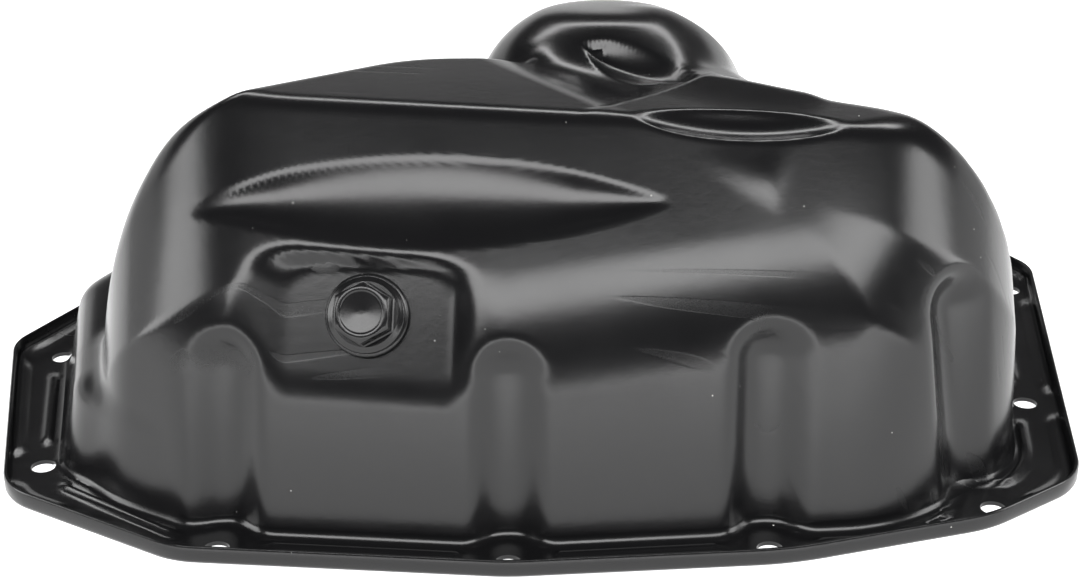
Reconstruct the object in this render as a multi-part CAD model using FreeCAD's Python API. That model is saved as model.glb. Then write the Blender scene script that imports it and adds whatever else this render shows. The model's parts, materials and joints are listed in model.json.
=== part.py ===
import FreeCAD, Part
import math
import os

V = FreeCAD.Vector

# Sheet, sealing flange and lip
SHEET = 1.2
LIP_HEIGHT = 5.1
BEAD_RISE = 1.1
HOLE_RADIUS = 3.5
OUTER_BEAD_WIDTH = 5.0
INNER_BEAD_GAP = 2.6
INNER_BEAD_WIDTH = 3.4
BOLT_FLAT_RADIUS = 11.0
PART_ORIGIN = (2.3, 8.6)
MOVING_GAP = 0.3

# corners of the flange's outer edge, anticlockwise from the front: x, y and corner radius
FLANGE_CORNERS = [
    (-7.6, -104.9, 60.0),
    (66.0, -98.6, 90.0),
    (122.0, -81.4, 40.0),
    (151.4, -60.0, 22.0),
    (171.0, 84.0, 16.0),
    (148.0, 123.5, 22.0),
    (-131.0, 90.5, 24.0),
    (-166.6, 24.0, 15.0),
    (-147.0, -66.4, 20.0),
    (-95.4, -97.4, 26.0),
]

BOLTS = [
    (-84.4, -92.2),
    (-7.6, -98.9),
    (61.2, -92.2),
    (124.4, -71.6),
    (147.3, -10.4),
    (161.0, 72.0),
    (124.4, 113.0),
    (61.2, 105.6),
    (-7.6, 97.5),
    (-84.4, 88.4),
    (-150.4, 20.6),
    (-140.2, -48.8),
]

# corners of the wall's foot, where it leaves the flange
FOOT_CORNERS = [
    (-8.0, -92.6, 60.0),
    (94.5, -82.9, 40.0),
    (135.1, -48.8, 30.0),
    (153.0, 78.0, 18.0),
    (138.0, 106.5, 20.0),
    (-123.0, 75.5, 24.0),
    (-148.5, 21.0, 18.0),
    (-130.3, -50.7, 26.0),
    (-89.8, -85.3, 34.0),
]

# Shallow tray behind the sump
TRAY_HEIGHT = 28.0
TRAY_LEAN = 0.24
TRAY_EDGE_RADIUS = 8.0
TRAY_SETBACKS = [9.0, 6.0, 1.5, 0.0, 0.0, 0.0, 0.0, 0.0, 9.0]

# Deep sump: plan outline, how far each side leans in per mm of height
SUMP_CORNERS = [
    (-8.0, -92.6, 80.0),
    (96.0, -82.9, 46.0),
    (137.0, -48.8, 40.0),
    (146.0, 60.0, 20.0),
    (-140.0, 60.0, 20.0),
    (-119.2, -60.2, 34.0),
    (-89.8, -85.3, 42.0),
]
SUMP_LEANS = [0.23, 0.155, 0.045, 0.18, 0.055, 0.155, 0.23]

# the upper front wall is a plane that leans back more
UPPER_LEAN = 0.683
UPPER_FOOT_Y = -84.0
UPPER_FOOT_Z = 36.0
UPPER_BEND_RADIUS = 30.0

# the top falls gently to the right and rounds over into both sides
TOP_HEIGHT = 105.2
BLOCK_HEIGHT = TOP_HEIGHT + 20.0
TOP_FALL = 0.042
TOP_PIVOT_X = -37.0
LEFT_ROUND_RADIUS = 44.0
RIGHT_ROUND_RADIUS = 52.0
LEFT_WALL_X = -133.0
LEFT_WALL_LEAN = 0.05
RIGHT_WALL_X = 144.0
RIGHT_WALL_LEAN = 0.04
TOP_EDGE_RADIUS = 6.0

# two leaning planes close the sump behind: a point just below the top, plan direction, lean
REAR_POINT_DROP = 5.2
REAR_LEFT_POINT = (-38.0, 0.0)
REAR_LEFT_ANGLE = 36.0
REAR_RIGHT_POINT = (65.0, -10.0)
REAR_RIGHT_ANGLE = -21.8
REAR_LEAN = 0.33
REAR_EDGE_RADIUS = 5.0

# Rear hump: half ellipsoid on an oval column
HUMP_CENTRE = (22.0, 32.0)
HUMP_LONG = 52.0
HUMP_SHORT = 36.0
HUMP_RISE = 7.8
HUMP_DOME = 33.0
HUMP_TOP = TOP_HEIGHT + HUMP_RISE
HUMP_BASE = HUMP_TOP - HUMP_DOME
HUMP_TURN = -53.0
HUMP_COLUMN_FLARE = 4.0

HUMP_BLEND_RADIUS = 6.0

# Pressed recesses: centre on the surface, half length, half width, depth
LENS_CENTRE = (-29.0, 82.0)
LENS_SIZE = (65.0, 12.4, 4.5)
RIDGE_DENT_X = 57.0
RIDGE_DENT_DROP = 4.9
RIDGE_DENT_BACK = 1.6
RIDGE_DENT_SIZE = (24.0, 9.5, 4.5)
SADDLE_DENT_CENTRE = (27.0, 11.0)
SADDLE_DENT_DROP = 6.6
SADDLE_DENT_SIZE = (18.5, 6.0, 3.2)
SADDLE_CENTRE = (18.0, -2.0)
SADDLE_SIZE = (31.0, 17.0, 5.0)

# Flutes that make room for the bolt heads
FLUTE_BOLTS = [0, 1, 2, 3]
FLUTE_FOOT_RADIUS = 10.6
FLUTE_HEAD_RADIUS = 8.6
FLUTE_TOP = 54.0

# Drain pad, plug and weld nut
PAD_POINT = (-44.1, -71.0, 58.9)
PAD_TILT = 29.5
PAD_TURN = -4.5
PAD_HALF_WIDTH = 22.6
PAD_UP = 13.2
PAD_DOWN = 21.0
PAD_DEPTH = 12.0
PAD_SIDE_FLARE = 13.0
PAD_TOP_FLARE = 4.0
THREAD_RADIUS = 6.0
THREAD_PITCH = 1.25
THREAD_CLEARANCE = 0.05
PLUG_LENGTH = 16.0
HEX_ACROSS = 14.0
HEX_HEIGHT = 7.0
PLUG_FLANGE_RADIUS = 10.2
PLUG_FLANGE_HEIGHT = 2.2
GASKET_RADIUS = 11.0
GASKET_HEIGHT = 2.0
GASKET_BORE = 6.35
NUT_RADIUS = 11.5
NUT_HEIGHT = 10.0


def polygon_wire(corners, z):
    """Closed outline with an arc at each corner; each corner holds x, y and its radius."""
    count = len(corners)
    arcs = []
    for i in range(count):
        ax, ay, unused = corners[i - 1]
        bx, by, radius = corners[i]
        cx, cy, unused = corners[(i + 1) % count]
        corner = V(bx, by, z)
        back = V(ax - bx, ay - by, 0)
        ahead = V(cx - bx, cy - by, 0)
        half = back.getAngle(ahead) / 2.0
        reach = radius / math.tan(half)
        back.normalize()
        ahead.normalize()
        start = corner + back * reach
        end = corner + ahead * reach
        inward = back + ahead
        inward.normalize()
        middle = corner + inward * (radius / math.sin(half) - radius)
        arcs.append((start, middle, end))
    edges = []
    for i in range(count):
        start, middle, end = arcs[i]
        edges.append(Part.Arc(start, middle, end).toShape())
        following = arcs[(i + 1) % count][0]
        edges.append(Part.LineSegment(end, following).toShape())
    return Part.Wire(edges)


def inset_corners(corners, insets, shrink=0.0):
    """Move every side inwards; insets is one number, or one number for each side."""
    count = len(corners)
    if not isinstance(insets, (list, tuple)):
        insets = [insets] * count
    lines = []
    for i in range(count):
        ax, ay, unused = corners[i]
        bx, by, unused = corners[(i + 1) % count]
        length = math.hypot(bx - ax, by - ay)
        dx = (bx - ax) / length
        dy = (by - ay) / length
        lines.append((ax - dy * insets[i], ay + dx * insets[i], dx, dy))
    moved = []
    for i in range(count):
        px, py, pdx, pdy = lines[i - 1]
        qx, qy, qdx, qdy = lines[i]
        cross = pdx * qdy - pdy * qdx
        along = ((qx - px) * qdy - (qy - py) * qdx) / cross
        radius = max(corners[i][2] - shrink, 1.0)
        moved.append((px + pdx * along, py + pdy * along, radius))
    return moved


def prism(corners, z_low, z_high):
    face = Part.Face(polygon_wire(corners, z_low))
    return face.extrude(V(0, 0, z_high - z_low))


def leaning_block(corners, low_insets, high_insets, z_low, z_high, shrink):
    """Block with one plane per side, each leaning by its own amount, and rounded upright corners."""
    low = inset_corners(corners, low_insets)
    high = inset_corners(corners, high_insets)
    count = len(corners)
    floor = [V(x, y, z_low) for x, y, unused in low]
    roof = [V(x, y, z_high) for x, y, unused in high]
    faces = []
    for i in range(count):
        j = (i + 1) % count
        side = Part.makePolygon([floor[i], floor[j], roof[j], roof[i], floor[i]])
        faces.append(Part.Face(side))
    faces.append(Part.Face(Part.makePolygon(floor + floor[:1])))
    faces.append(Part.Face(Part.makePolygon(roof + roof[:1])))
    body = Part.Solid(Part.Shell(faces))
    if body.Volume < 0:
        body.reverse()
    for i in range(count):
        middle = (floor[i] + roof[i]) * 0.5
        upright = min(body.Edges, key=lambda e: (e.CenterOfMass - middle).Length)
        radius = max(corners[i][2] - shrink, 1.0)
        body = body.makeFillet(radius, [upright])
    return body


def tray_block(skin):
    """Shallow body with leaning walls over the whole opening of the flange."""
    top = TRAY_HEIGHT - skin
    low_insets = [s + skin for s in TRAY_SETBACKS]
    high_insets = [s + skin + TRAY_LEAN * top for s in TRAY_SETBACKS]
    body = leaning_block(FOOT_CORNERS, low_insets, high_insets, 0.0, top, skin)
    rims = [e for e in body.Edges if e.BoundBox.ZMin > top - 0.01]
    return body.makeFillet(TRAY_EDGE_RADIUS - skin, rims)


def half_space(point, normal, size=400.0):
    """Large block whose base plane passes through the point and which lies on the normal's side."""
    block = Part.makeBox(size, size, size / 2.0)
    block.translate(V(-size / 2.0, -size / 2.0, 0))
    turn = FreeCAD.Rotation(V(0, 0, 1), normal)
    block.Placement = FreeCAD.Placement(point, turn).multiply(block.Placement)
    return block


def plan_block(skin):
    """Tall body with the sump's rounded outline; every side leans in by its own amount."""
    side = skin * 1.03
    low_insets = [side - 2.0 * lean for lean in SUMP_LEANS]
    high_insets = [side + lean * BLOCK_HEIGHT for lean in SUMP_LEANS]
    return leaning_block(SUMP_CORNERS, low_insets, high_insets, -2.0, BLOCK_HEIGHT, skin)


def upper_front(skin):
    """Plane of the upper front wall: a point on it and its outward normal."""
    lean = math.atan(UPPER_LEAN)
    normal = V(0, -math.cos(lean), math.sin(lean))
    return V(0, UPPER_FOOT_Y, UPPER_FOOT_Z) - normal * skin, normal


def edges_where(shape, test, count=5):
    """Edges on which every sampled point passes the test."""
    found = []
    for edge in shape.Edges:
        if edge.Degenerated or edge.Length < 0.01:
            continue
        if all(test(q) for q in edge.discretize(count)):
            found.append(edge)
    return found


def belt(skin):
    """Long body across the whole width: gently falling top, large round shoulders, steep sides."""
    top_z = TOP_HEIGHT - skin
    left_x = LEFT_WALL_X + skin
    right_x = RIGHT_WALL_X - skin
    left_high = top_z - TOP_FALL * (left_x + 5.0 - TOP_PIVOT_X)
    right_high = top_z - TOP_FALL * (right_x - 4.0 - TOP_PIVOT_X)
    outline = Part.makePolygon([
        V(left_x - LEFT_WALL_LEAN * 5.0, -160, -5),
        V(right_x + RIGHT_WALL_LEAN * 5.0, -160, -5),
        V(right_x - RIGHT_WALL_LEAN * right_high, -160, right_high),
        V(left_x + LEFT_WALL_LEAN * left_high, -160, left_high),
        V(left_x - LEFT_WALL_LEAN * 5.0, -160, -5),
    ])
    body = Part.Face(outline).extrude(V(0, 320, 0))
    left_edge = edges_where(body, lambda q: q.x < 0 and q.z > TOP_HEIGHT / 2.0)
    left_edge = [e for e in left_edge if e.BoundBox.YLength > 300]
    body = body.makeFillet(LEFT_ROUND_RADIUS - skin, left_edge)
    right_edge = edges_where(body, lambda q: q.x > 0 and q.z > TOP_HEIGHT / 2.0)
    right_edge = [e for e in right_edge if e.BoundBox.YLength > 300]
    return body.makeFillet(RIGHT_ROUND_RADIUS - skin, right_edge)


def rear_plane(point, angle, skin):
    """Leaning plane behind the sump, from a point at the top's height and a plan direction."""
    turn = math.radians(angle)
    lean = math.atan(REAR_LEAN)
    normal = V(-math.sin(turn) * math.cos(lean), math.cos(turn) * math.cos(lean), math.sin(lean))
    return V(point[0], point[1], TOP_HEIGHT - REAR_POINT_DROP) - normal * skin, normal


def sump_block(skin):
    """Deep sump: rounded plan outline, leaning upper front, round shoulders, planes behind."""
    point, normal = upper_front(skin)
    body = plan_block(skin).cut(half_space(point, normal))
    bend = edges_where(body, lambda q: abs((q - point).dot(normal)) < 0.02 and q.z < BLOCK_HEIGHT - 0.1)
    bend = [e for e in bend if e.BoundBox.ZMin < TOP_HEIGHT]
    body = body.makeFillet(UPPER_BEND_RADIUS - skin, bend)
    shoulders = belt(skin)
    body = body.common(shoulders)
    for place, angle in ((REAR_LEFT_POINT, REAR_LEFT_ANGLE), (REAR_RIGHT_POINT, REAR_RIGHT_ANGLE)):
        point, normal = rear_plane(place, angle, skin)
        body = body.cut(half_space(point, normal))
    return body, shoulders


def scaled_ball(a, b, c):
    """Ellipsoid round the origin with the given half axes."""
    matrix = FreeCAD.Matrix()
    matrix.scale(a, b, c)
    return Part.makeSphere(1.0).transformGeometry(matrix)


def oval_wire(a, b, z):
    ellipse = Part.Ellipse(V(0, 0, z), a, b)
    return Part.Wire([ellipse.toShape()])


def hump_block(skin):
    """Rear hump: the upper half of an ellipsoid standing on an oval column."""
    long_axis = HUMP_LONG - skin
    short_axis = HUMP_SHORT - skin
    rise = HUMP_TOP - HUMP_BASE - skin
    dome = scaled_ball(long_axis, short_axis, rise)
    lower = Part.makeBox(200, 200, 100)
    lower.translate(V(-100, -100, -100))
    dome = dome.cut(lower)
    dome.translate(V(0, 0, HUMP_BASE))
    flare = HUMP_COLUMN_FLARE
    foot = oval_wire(long_axis + flare, short_axis + flare, 8.0)
    head = oval_wire(long_axis, short_axis, HUMP_BASE)
    column = Part.makeLoft([foot, head], True, True)
    body = dome.fuse(column)
    body.rotate(V(0, 0, 0), V(0, 0, 1), HUMP_TURN)
    body.translate(V(HUMP_CENTRE[0], HUMP_CENTRE[1], 0))
    return body


def ring_tool(centre, along, lift_dir, size, skin):
    """Large ring that touches a surface; cutting it out leaves a lens-shaped recess.

    The recess is size[0] by size[1] on the surface, measured from its middle, and size[2] deep.
    """
    half_length, half_width, depth = size
    tube = (half_width ** 2 + depth ** 2) / (2.0 * depth)
    reach = (half_length ** 2 + depth ** 2) / (2.0 * depth)
    z_axis = V(lift_dir)
    z_axis.normalize()
    y_axis = z_axis.cross(V(along))
    y_axis.normalize()
    middle = V(centre) + z_axis * (reach - depth)
    return Part.makeTorus(reach - tube, tube + skin, middle, y_axis)


def front_y_at(z):
    """Where the upper front wall's plane stands at a height."""
    return UPPER_FOOT_Y + UPPER_LEAN * (z - UPPER_FOOT_Z)


def wall_y_at(x, z):
    """Where the front wall stands, from the outline's two front sides and the upper plane."""
    if x < SUMP_CORNERS[0][0]:
        ax, ay, unused = SUMP_CORNERS[6]
        bx, by, unused = SUMP_CORNERS[0]
    else:
        ax, ay, unused = SUMP_CORNERS[0]
        bx, by, unused = SUMP_CORNERS[1]
    foot = ay + (by - ay) * (x - ax) / (bx - ax)
    lower = foot + SUMP_LEANS[0] * z
    return max(lower, front_y_at(z))


def flute(bolt, skin):
    """Leaning cone over a bolt; cut from the wall it leaves a groove that fades out upwards."""
    x, y = BOLTS[bolt]
    sideways = 0.0
    if x > 110:
        sideways = -0.30
    head_y = wall_y_at(min(x, 100.0), FLUTE_TOP) - FLUTE_HEAD_RADIUS
    if x > 110:
        head_y = head_y + 6.0
    foot = V(x, y, 0)
    head = V(x + sideways * FLUTE_TOP, head_y, FLUTE_TOP)
    axis = head - foot
    length = axis.Length
    axis.normalize()
    slope = (FLUTE_HEAD_RADIUS - FLUTE_FOOT_RADIUS) / length
    below = 14.0
    above = 26.0
    start = foot - axis * below
    low_radius = FLUTE_FOOT_RADIUS - slope * below + skin
    high_radius = FLUTE_HEAD_RADIUS + slope * above + skin
    return Part.makeCone(low_radius, high_radius, length + below + above, start, axis)


def pad_axes():
    """Axes of the drain pad: sideways, up the slope and straight out."""
    tilt = math.radians(PAD_TILT)
    turn = math.radians(PAD_TURN)
    out = V(math.sin(turn) * math.cos(tilt), -math.cos(turn) * math.cos(tilt), math.sin(tilt))
    side = V(math.cos(turn), math.sin(turn), 0)
    up = out.cross(side)
    return side, up, out


def to_pad(shape, out_shift=0.0):
    """Place a shape drawn round the origin with +Z outwards onto the drain pad."""
    side, up, out = pad_axes()
    matrix = FreeCAD.Matrix(
        side.x, up.x, out.x, 0,
        side.y, up.y, out.y, 0,
        side.z, up.z, out.z, 0,
        0, 0, 0, 1,
    )
    placed = shape.copy()
    placed.transformShape(matrix)
    placed.translate(V(*PAD_POINT) + out * out_shift)
    return placed


def pad_outline(half_width, down, up, radius, z):
    corners = [
        (-half_width, -down, radius),
        (half_width, -down, radius),
        (half_width, up, radius),
        (-half_width, up, radius),
    ]
    return polygon_wire(corners, z)


def pad_block(skin):
    """Flat pad for the drain plug with sloping sides and a short ledge above."""
    face = pad_outline(PAD_HALF_WIDTH - skin * 0.5, PAD_DOWN, PAD_UP - skin * 0.7, 5.0, -skin)
    root = pad_outline(
        PAD_HALF_WIDTH + PAD_SIDE_FLARE - skin * 0.5,
        PAD_DOWN,
        PAD_UP + PAD_TOP_FLARE - skin * 0.7,
        9.0,
        -PAD_DEPTH - skin,
    )
    return to_pad(Part.makeLoft([root, face], True, True))


def recess_tools(skin):
    """Every pressed-in recess as a cutting body, grown by the sheet for the inner skin."""
    point, normal = upper_front(0.0)
    lens = V(LENS_CENTRE[0], front_y_at(LENS_CENTRE[1]), LENS_CENTRE[1])
    dent_z = TOP_HEIGHT - RIDGE_DENT_DROP
    ridge_dent = V(RIDGE_DENT_X, front_y_at(dent_z) + RIDGE_DENT_BACK, dent_z)
    saddle_dent = V(SADDLE_DENT_CENTRE[0], SADDLE_DENT_CENTRE[1], TOP_HEIGHT - SADDLE_DENT_DROP)
    saddle_top = TOP_HEIGHT - TOP_FALL * (SADDLE_CENTRE[0] - TOP_PIVOT_X)
    saddle = V(SADDLE_CENTRE[0], SADDLE_CENTRE[1], saddle_top)
    tools = [
        ring_tool(lens, V(1, 0, 0), normal, LENS_SIZE, skin),
        ring_tool(ridge_dent, V(1, 0, -TOP_FALL), V(0, -0.35, 0.94), RIDGE_DENT_SIZE, skin),
        ring_tool(saddle_dent, V(0.917, -0.398, 0), V(0, -0.1, 1), SADDLE_DENT_SIZE, skin),
        ring_tool(saddle, V(1, 0, 0), V(0, 0, 1), SADDLE_SIZE, skin),
    ]
    for bolt in FLUTE_BOLTS:
        tools.append(flute(bolt, skin))
    return tools


def skin_body(skin):
    """Solid bounded by the pan's outer skin, or by the inner one when skin is the sheet."""
    sump, shoulders = sump_block(skin)

    def on_shoulders(q):
        spot = Part.Vertex(q)
        return min(face.distToShape(spot)[0] for face in shoulders.Faces) < 0.02

    rims = edges_where(sump, lambda q: q.z > 3 and on_shoulders(q), 4)
    front = [e for e in rims if e.BoundBox.YMax < -14]
    sump = sump.makeFillet(TOP_EDGE_RADIUS - skin, front)
    rims = edges_where(sump, lambda q: q.z > 3 and on_shoulders(q), 4)
    rear = [e for e in rims if e.BoundBox.YMax > -20 and e.BoundBox.YLength > 8]
    sump = sump.makeFillet(REAR_EDGE_RADIUS - skin, rear)
    hump = hump_block(skin)
    body = sump.fuse(hump)

    def on_both(q):
        spot = Part.Vertex(q)
        if min(face.distToShape(spot)[0] for face in hump.Faces) > 0.02:
            return False
        return min(face.distToShape(spot)[0] for face in sump.Faces) < 0.02

    crease = edges_where(body, lambda q: q.z > 1 and on_both(q), 4)
    crease = [e for e in crease if e.BoundBox.ZMax > 12]
    body = body.makeFillet(HUMP_BLEND_RADIUS + skin, crease)
    body = body.fuse(tray_block(skin))
    body = body.fuse(pad_block(skin))
    for tool in recess_tools(skin):
        body = body.cut(tool)
    return body


def strip(corners, outer_inset, width, keep_radius, low, high):
    """Raised strip that follows an outline, broken by a round gap at every bolt."""
    body = prism(inset_corners(corners, outer_inset, outer_inset), low, high)
    hole = prism(inset_corners(corners, outer_inset + width, outer_inset + width), low, high)
    body = body.cut(hole)
    for x, y in BOLTS:
        gap = Part.makeCylinder(keep_radius, high - low, V(x, y, low))
        body = body.cut(gap)
    return body


def flange_plate():
    """Flat sealing band with its upturned lip, the raised strips and the bolt holes."""
    outer = prism(FLANGE_CORNERS, 0.0, LIP_HEIGHT)
    well_corners = inset_corners(FLANGE_CORNERS, SHEET, SHEET)
    well = prism(well_corners, SHEET, LIP_HEIGHT + 1.0)
    plate = outer.cut(well)
    rim_top = edges_where(plate, lambda q: q.z < 0.001, 3)
    plate = plate.makeFillet(SHEET * 0.8, rim_top)
    outer_strip = strip(FLANGE_CORNERS, SHEET * 0.5, OUTER_BEAD_WIDTH, BOLT_FLAT_RADIUS,
                        SHEET * 0.5, SHEET + BEAD_RISE)
    outer_groove = strip(FLANGE_CORNERS, -2.0, OUTER_BEAD_WIDTH + 1.4, BOLT_FLAT_RADIUS + SHEET * 0.7,
                         -1.0, BEAD_RISE)
    inner_inset = -(INNER_BEAD_GAP + INNER_BEAD_WIDTH)
    inner_strip = strip(FOOT_CORNERS, inner_inset, INNER_BEAD_WIDTH, BOLT_FLAT_RADIUS + 2.0,
                        SHEET * 0.5, SHEET + BEAD_RISE)
    inner_groove = strip(FOOT_CORNERS, inner_inset + SHEET * 0.6, INNER_BEAD_WIDTH - SHEET * 1.2,
                         BOLT_FLAT_RADIUS + 2.0 + SHEET * 0.6, -1.0, BEAD_RISE)
    plate = plate.fuse(outer_strip).cut(outer_groove)
    plate = plate.fuse(inner_strip).cut(inner_groove)
    return plate


def pan_shell():
    """The whole stamped pan: outer skin and flange, hollowed by the inner skin."""
    below = half_space(V(0, 0, 0), V(0, 0, -1), 700.0)
    outer = skin_body(0.0).cut(below)
    inner = skin_body(SHEET)
    body = outer.fuse(flange_plate()).cut(inner)
    for x, y in BOLTS:
        hole = Part.makeCylinder(HOLE_RADIUS, 20.0, V(x, y, -5.0))
        body = body.cut(hole)
    bore = Part.makeCylinder(THREAD_RADIUS + 0.4, 20.0, V(0, 0, -10.0))
    return body.cut(to_pad(bore))


def drain_nut():
    """Weld nut behind the pad."""
    body = Part.makeCylinder(NUT_RADIUS, NUT_HEIGHT)
    lip = edges_where(body, lambda q: q.z < 0.001, 4)
    body = body.makeChamfer(1.0, lip)
    bore = Part.makeCylinder(THREAD_RADIUS + THREAD_CLEARANCE, NUT_HEIGHT + 2.0, V(0, 0, -1.0))
    body = body.cut(bore)
    return to_pad(body, -SHEET - NUT_HEIGHT)


def plug_gasket():
    """Flat sealing washer between the pad and the plug's flange."""
    body = Part.makeCylinder(GASKET_RADIUS, GASKET_HEIGHT)
    edges = edges_where(body, lambda q: math.hypot(q.x, q.y) > GASKET_RADIUS - 0.01, 4)
    rims = [e for e in edges if e.BoundBox.ZLength < 0.01]
    body = body.makeFillet(0.6, rims)
    bore = Part.makeCylinder(GASKET_BORE, GASKET_HEIGHT + 2.0, V(0, 0, -1.0))
    return to_pad(body.cut(bore), MOVING_GAP)


def drain_plug():
    """Drain plug: shank, round flange and hexagon head with a chamfered crown and a dimple."""
    shank = Part.makeCylinder(THREAD_RADIUS, PLUG_LENGTH + GASKET_HEIGHT + 0.5, V(0, 0, -PLUG_LENGTH))
    tip = edges_where(shank, lambda q: q.z < -PLUG_LENGTH + 0.001, 4)
    shank = shank.makeChamfer(1.0, tip)
    collar = Part.makeCylinder(PLUG_FLANGE_RADIUS, PLUG_FLANGE_HEIGHT, V(0, 0, GASKET_HEIGHT))
    crown = edges_where(collar, lambda q: q.z > GASKET_HEIGHT + PLUG_FLANGE_HEIGHT - 0.001, 4)
    collar = collar.makeChamfer(1.1, crown)
    top = GASKET_HEIGHT + PLUG_FLANGE_HEIGHT + HEX_HEIGHT
    points = []
    corner = HEX_ACROSS / math.sqrt(3.0)
    for i in range(7):
        angle = math.radians(60.0 * i + 90.0)
        points.append(V(corner * math.cos(angle), corner * math.sin(angle), GASKET_HEIGHT + 0.5))
    head = Part.Face(Part.makePolygon(points)).extrude(V(0, 0, top - GASKET_HEIGHT - 0.5))
    cone = Part.makeCone(corner + 11.0, HEX_ACROSS * 0.47, 6.5, V(0, 0, top - 6.5))
    drum = Part.makeCylinder(corner + 12.0, top - 6.5 + 1.0, V(0, 0, -1.0))
    head = head.common(cone.fuse(drum))
    dimple = Part.makeCone(0.4, 3.2, 0.9, V(0, 0, top - 0.9))
    body = shank.fuse(collar).fuse(head).cut(dimple)
    return to_pad(body.removeSplitter(), 2.0 * MOVING_GAP)


def main():
    os.makedirs("parts", exist_ok=True)
    nodes = {
        "oil_pan": pan_shell(),
        "drain_nut": drain_nut(),
        "plug_gasket": plug_gasket(),
        "drain_plug": drain_plug(),
    }
    for name, shape in nodes.items():
        shape.translate(V(-PART_ORIGIN[0], -PART_ORIGIN[1], 0))
        shape.exportStep("parts/" + name + ".step")


if __name__ == "__main__":
    main()
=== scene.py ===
import json
import logging
import math
from dataclasses import dataclass
from enum import Enum
from typing import Callable, Sequence

import bmesh
import bpy
import numpy as np
from mathutils import Matrix, Vector


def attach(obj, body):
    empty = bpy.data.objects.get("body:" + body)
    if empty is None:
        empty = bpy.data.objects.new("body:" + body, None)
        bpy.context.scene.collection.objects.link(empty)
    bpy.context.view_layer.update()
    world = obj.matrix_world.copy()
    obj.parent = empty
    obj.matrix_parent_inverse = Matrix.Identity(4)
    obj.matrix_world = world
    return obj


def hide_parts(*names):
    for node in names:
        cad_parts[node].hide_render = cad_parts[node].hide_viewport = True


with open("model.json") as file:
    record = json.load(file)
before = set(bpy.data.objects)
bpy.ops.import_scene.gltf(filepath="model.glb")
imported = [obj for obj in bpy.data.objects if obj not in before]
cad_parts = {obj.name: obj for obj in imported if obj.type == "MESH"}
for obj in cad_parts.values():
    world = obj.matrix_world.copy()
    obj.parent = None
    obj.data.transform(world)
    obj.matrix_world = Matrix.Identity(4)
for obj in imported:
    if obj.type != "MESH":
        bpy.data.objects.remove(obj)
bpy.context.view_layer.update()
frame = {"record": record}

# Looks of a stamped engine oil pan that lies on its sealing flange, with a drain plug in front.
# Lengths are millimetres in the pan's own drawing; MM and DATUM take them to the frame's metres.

LOG = logging.getLogger("oil_pan")
MM = 0.001
DATUM = np.array([2.3, 8.6, 0.0])
TINY = 1e-9

Corner = tuple[float, float, float]
Field = np.ndarray


class Slot(str, Enum):
    """Material slots that the record states."""

    SHEET = "painted_sheet"
    NUT = "painted_nut"
    GASKET = "painted_gasket"
    PLUG = "painted_plug"


# Small geometry helpers


def soft_max(a: Field, b: Field, blend: float | Field) -> Field:
    """Larger of two distances, rounded over where they are within blend of each other.

    Args:
        a: First distance, negative inside.
        b: Second distance.
        blend: Width of the rounding in the same unit.

    Returns:
        The rounded maximum.
    """
    near = np.maximum(blend - np.abs(a - b), 0.0) / blend
    return np.maximum(a, b) + near * near * blend * 0.25


def soft_min(a: Field, b: Field, blend: float | Field) -> Field:
    """Smaller of two distances, filleted; takes and gives what soft_max does."""
    return -soft_max(-a, -b, blend)


def round_corner(a: Field, b: Field, cosine: float, radius: float) -> Field:
    """Outer corner of two planes with a true arc between them.

    Args:
        a: Distance to the first plane.
        b: Distance to the second plane.
        cosine: Cosine of the angle between the planes' normals.
        radius: Radius of the arc.

    Returns:
        Distance to the rounded corner.
    """
    u = a + radius
    v = b + radius
    spread = 1.0 - cosine * cosine
    along_a = (u - cosine * v) / spread
    along_b = (v - cosine * u) / spread
    reach = along_a ** 2 + along_b ** 2 + 2.0 * cosine * along_a * along_b
    arc = np.sqrt(np.maximum(reach, 0.0)) - radius
    return np.where((along_a > 0.0) & (along_b > 0.0), arc, np.maximum(a, b))


def smooth_step(value: Field, low: float, high: float) -> Field:
    """Goes smoothly from 0 at low to 1 at high.

    Args:
        value: Where to look.
        low: Start of the step.
        high: End of the step.

    Returns:
        Numbers from 0 to 1.
    """
    t = np.clip((value - low) / (high - low), 0.0, 1.0)
    return t * t * (3.0 - 2.0 * t)


@dataclass(frozen=True)
class Plane:
    """Half space: a point on its face and the outward unit normal."""

    point: tuple[float, float, float]
    normal: tuple[float, float, float]

    def distance(self, p: Field) -> Field:
        """Signed distance of points to the face, negative inside.

        Args:
            p: Points, last axis x, y, z.

        Returns:
            One distance per point.
        """
        return (p - np.array(self.point)) @ np.array(self.normal)

    def cosine(self, other: "Plane") -> float:
        """Cosine of the angle to another plane's normal."""
        return float(np.dot(self.normal, other.normal))


def leaning_sides(corners: Sequence[Corner], leans: Sequence[float] | None = None,
                  insets: Sequence[float] | None = None) -> list[Plane]:
    """Planes over the sides of an outline, one per side, anticlockwise.

    Args:
        corners: x, y and corner radius.
        leans: How far each side leans in per unit of height; upright if left out.
        insets: How far each side stands inside the outline; nothing if left out.

    Returns:
        The planes in the order of the corners.
    """
    leans = leans or [0.0] * len(corners)
    insets = insets or [0.0] * len(corners)
    planes = []
    for i, (ax, ay, _) in enumerate(corners):
        bx, by, _ = corners[(i + 1) % len(corners)]
        length = math.hypot(bx - ax, by - ay)
        nx, ny = (by - ay) / length, -(bx - ax) / length
        slope = math.atan(leans[i])
        point = (ax - nx * insets[i], ay - ny * insets[i], 0.0)
        planes.append(Plane(point, (nx * math.cos(slope), ny * math.cos(slope), math.sin(slope))))
    return planes


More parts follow.
